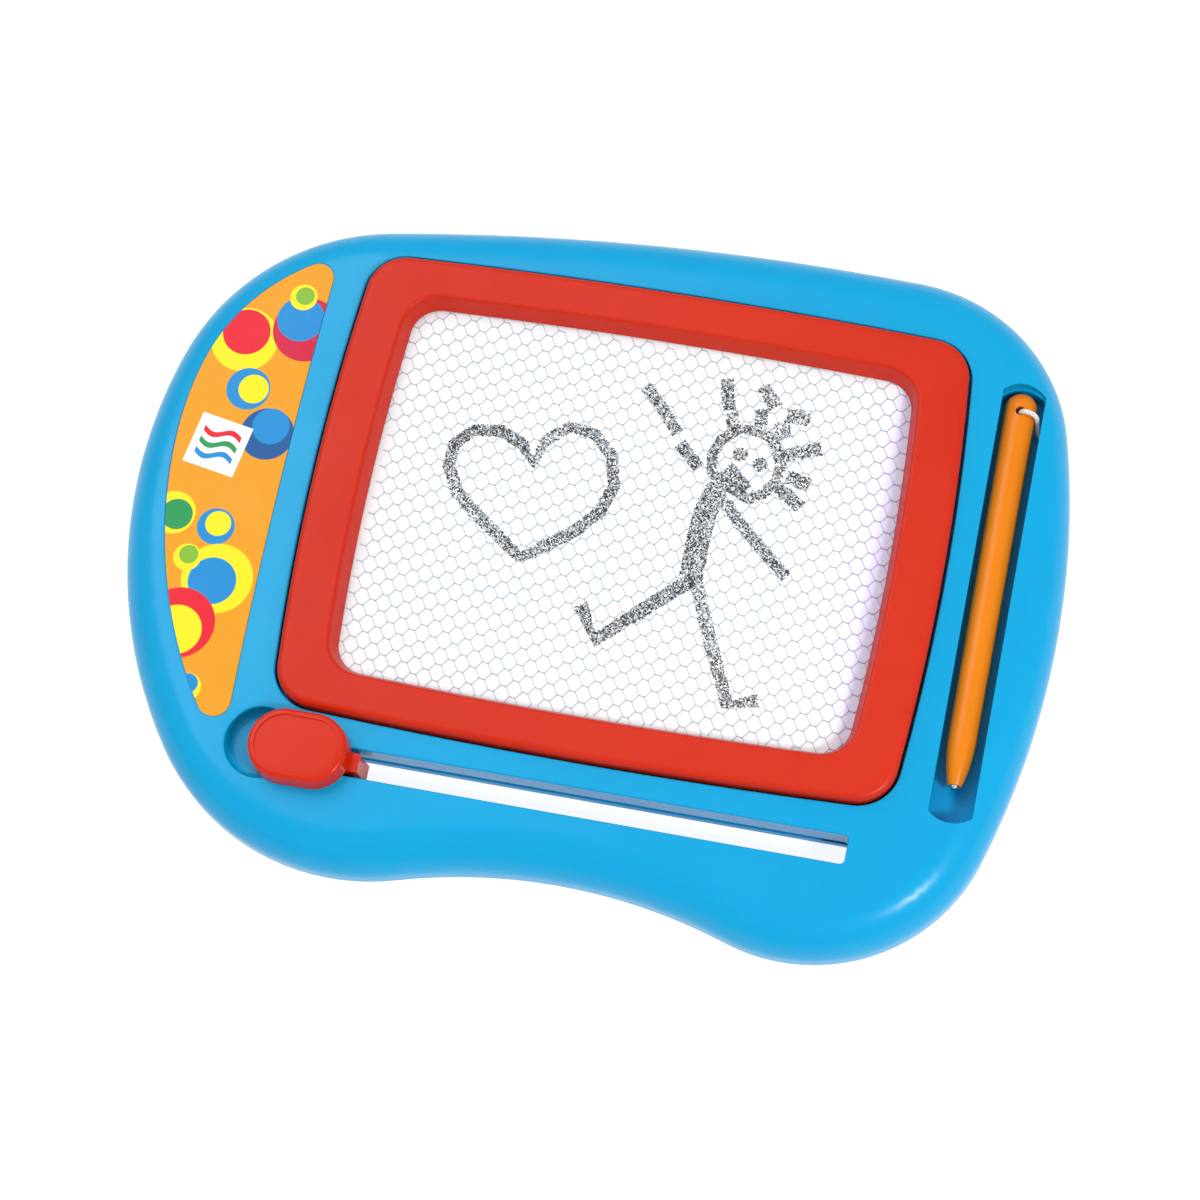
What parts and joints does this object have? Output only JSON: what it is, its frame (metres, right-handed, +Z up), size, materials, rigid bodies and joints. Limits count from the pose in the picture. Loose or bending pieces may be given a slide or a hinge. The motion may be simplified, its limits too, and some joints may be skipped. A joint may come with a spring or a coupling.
{
  "type": "magnetic drawing board",
  "caption": "Child's magnetic drawing board: lobed blue casing, raised red frame round a honeycomb screen, sliding eraser knob and a pen on a string in its tray.",
  "frame": {"origin": "centre of the footprint, on the plane of the rim that the board rests on", "axes": "+X along the board's length towards the pen tray, +Y across it away from the eraser slot, +Z up out of the drawing side"},
  "size_m": [0.2804, 0.2118, 0.024],
  "materials": {
    "casing_blue": "glossy sky-blue moulded plastic",
    "cover_blue": "satin sky-blue moulded plastic",
    "screw_steel": "zinc-plated steel",
    "frame_red": "satin orange-red moulded plastic",
    "film_clear": "clear glossy film",
    "core_white": "white fluid in a honeycomb grid, with dark iron powder",
    "film_white": "white translucent film",
    "foam_grey": "closed-cell foam",
    "label_print": "printed glossy label, orange ground with plain discs",
    "string_white": "white braided string",
    "knob_red": "glossy red moulded plastic",
    "bar_white": "satin off-white plastic",
    "magnet_black": "flexible magnet strip",
    "pen_orange": "glossy orange moulded plastic",
    "tip_plated": "nickel-plated steel",
    "magnet_metal": "plated rod magnet"
  },
  "bodies": {
    "casing": {"front_casing": "casing_blue", "back_cover": "cover_blue", "cover_screws": "screw_steel", "bezel": "frame_red", "bezel_screws": "screw_steel", "screen_front_sheet": "film_clear", "screen_core": "core_white", "screen_back_sheet": "film_white", "screen_gasket": "foam_grey", "label_sticker": "label_print", "tether_string": "string_white", "tether_stop_knot": "string_white"},
    "eraser": {"slider_knob": "knob_red", "slider_arm": "knob_red", "knob_screws": "screw_steel", "eraser_bar": "bar_white", "eraser_magnet": "magnet_black", "arm_screws": "screw_steel"},
    "pen": {"pen_barrel": "pen_orange", "pen_tip": "tip_plated", "pen_magnet": "magnet_metal", "tether_pen_knot": "string_white"}
  },
  "joints": [
    {"name": "eraser_slide", "type": "slide", "parent": "casing", "child": "eraser", "axis": [1, 0, 0], "range_m": [0, 0.142]},
    {"name": "pen_lift", "type": "slide", "parent": "casing", "child": "pen", "axis": [0, 0, 1], "range_m": [0, 0.04], "deforming": ["tether_string"]}
  ]
}
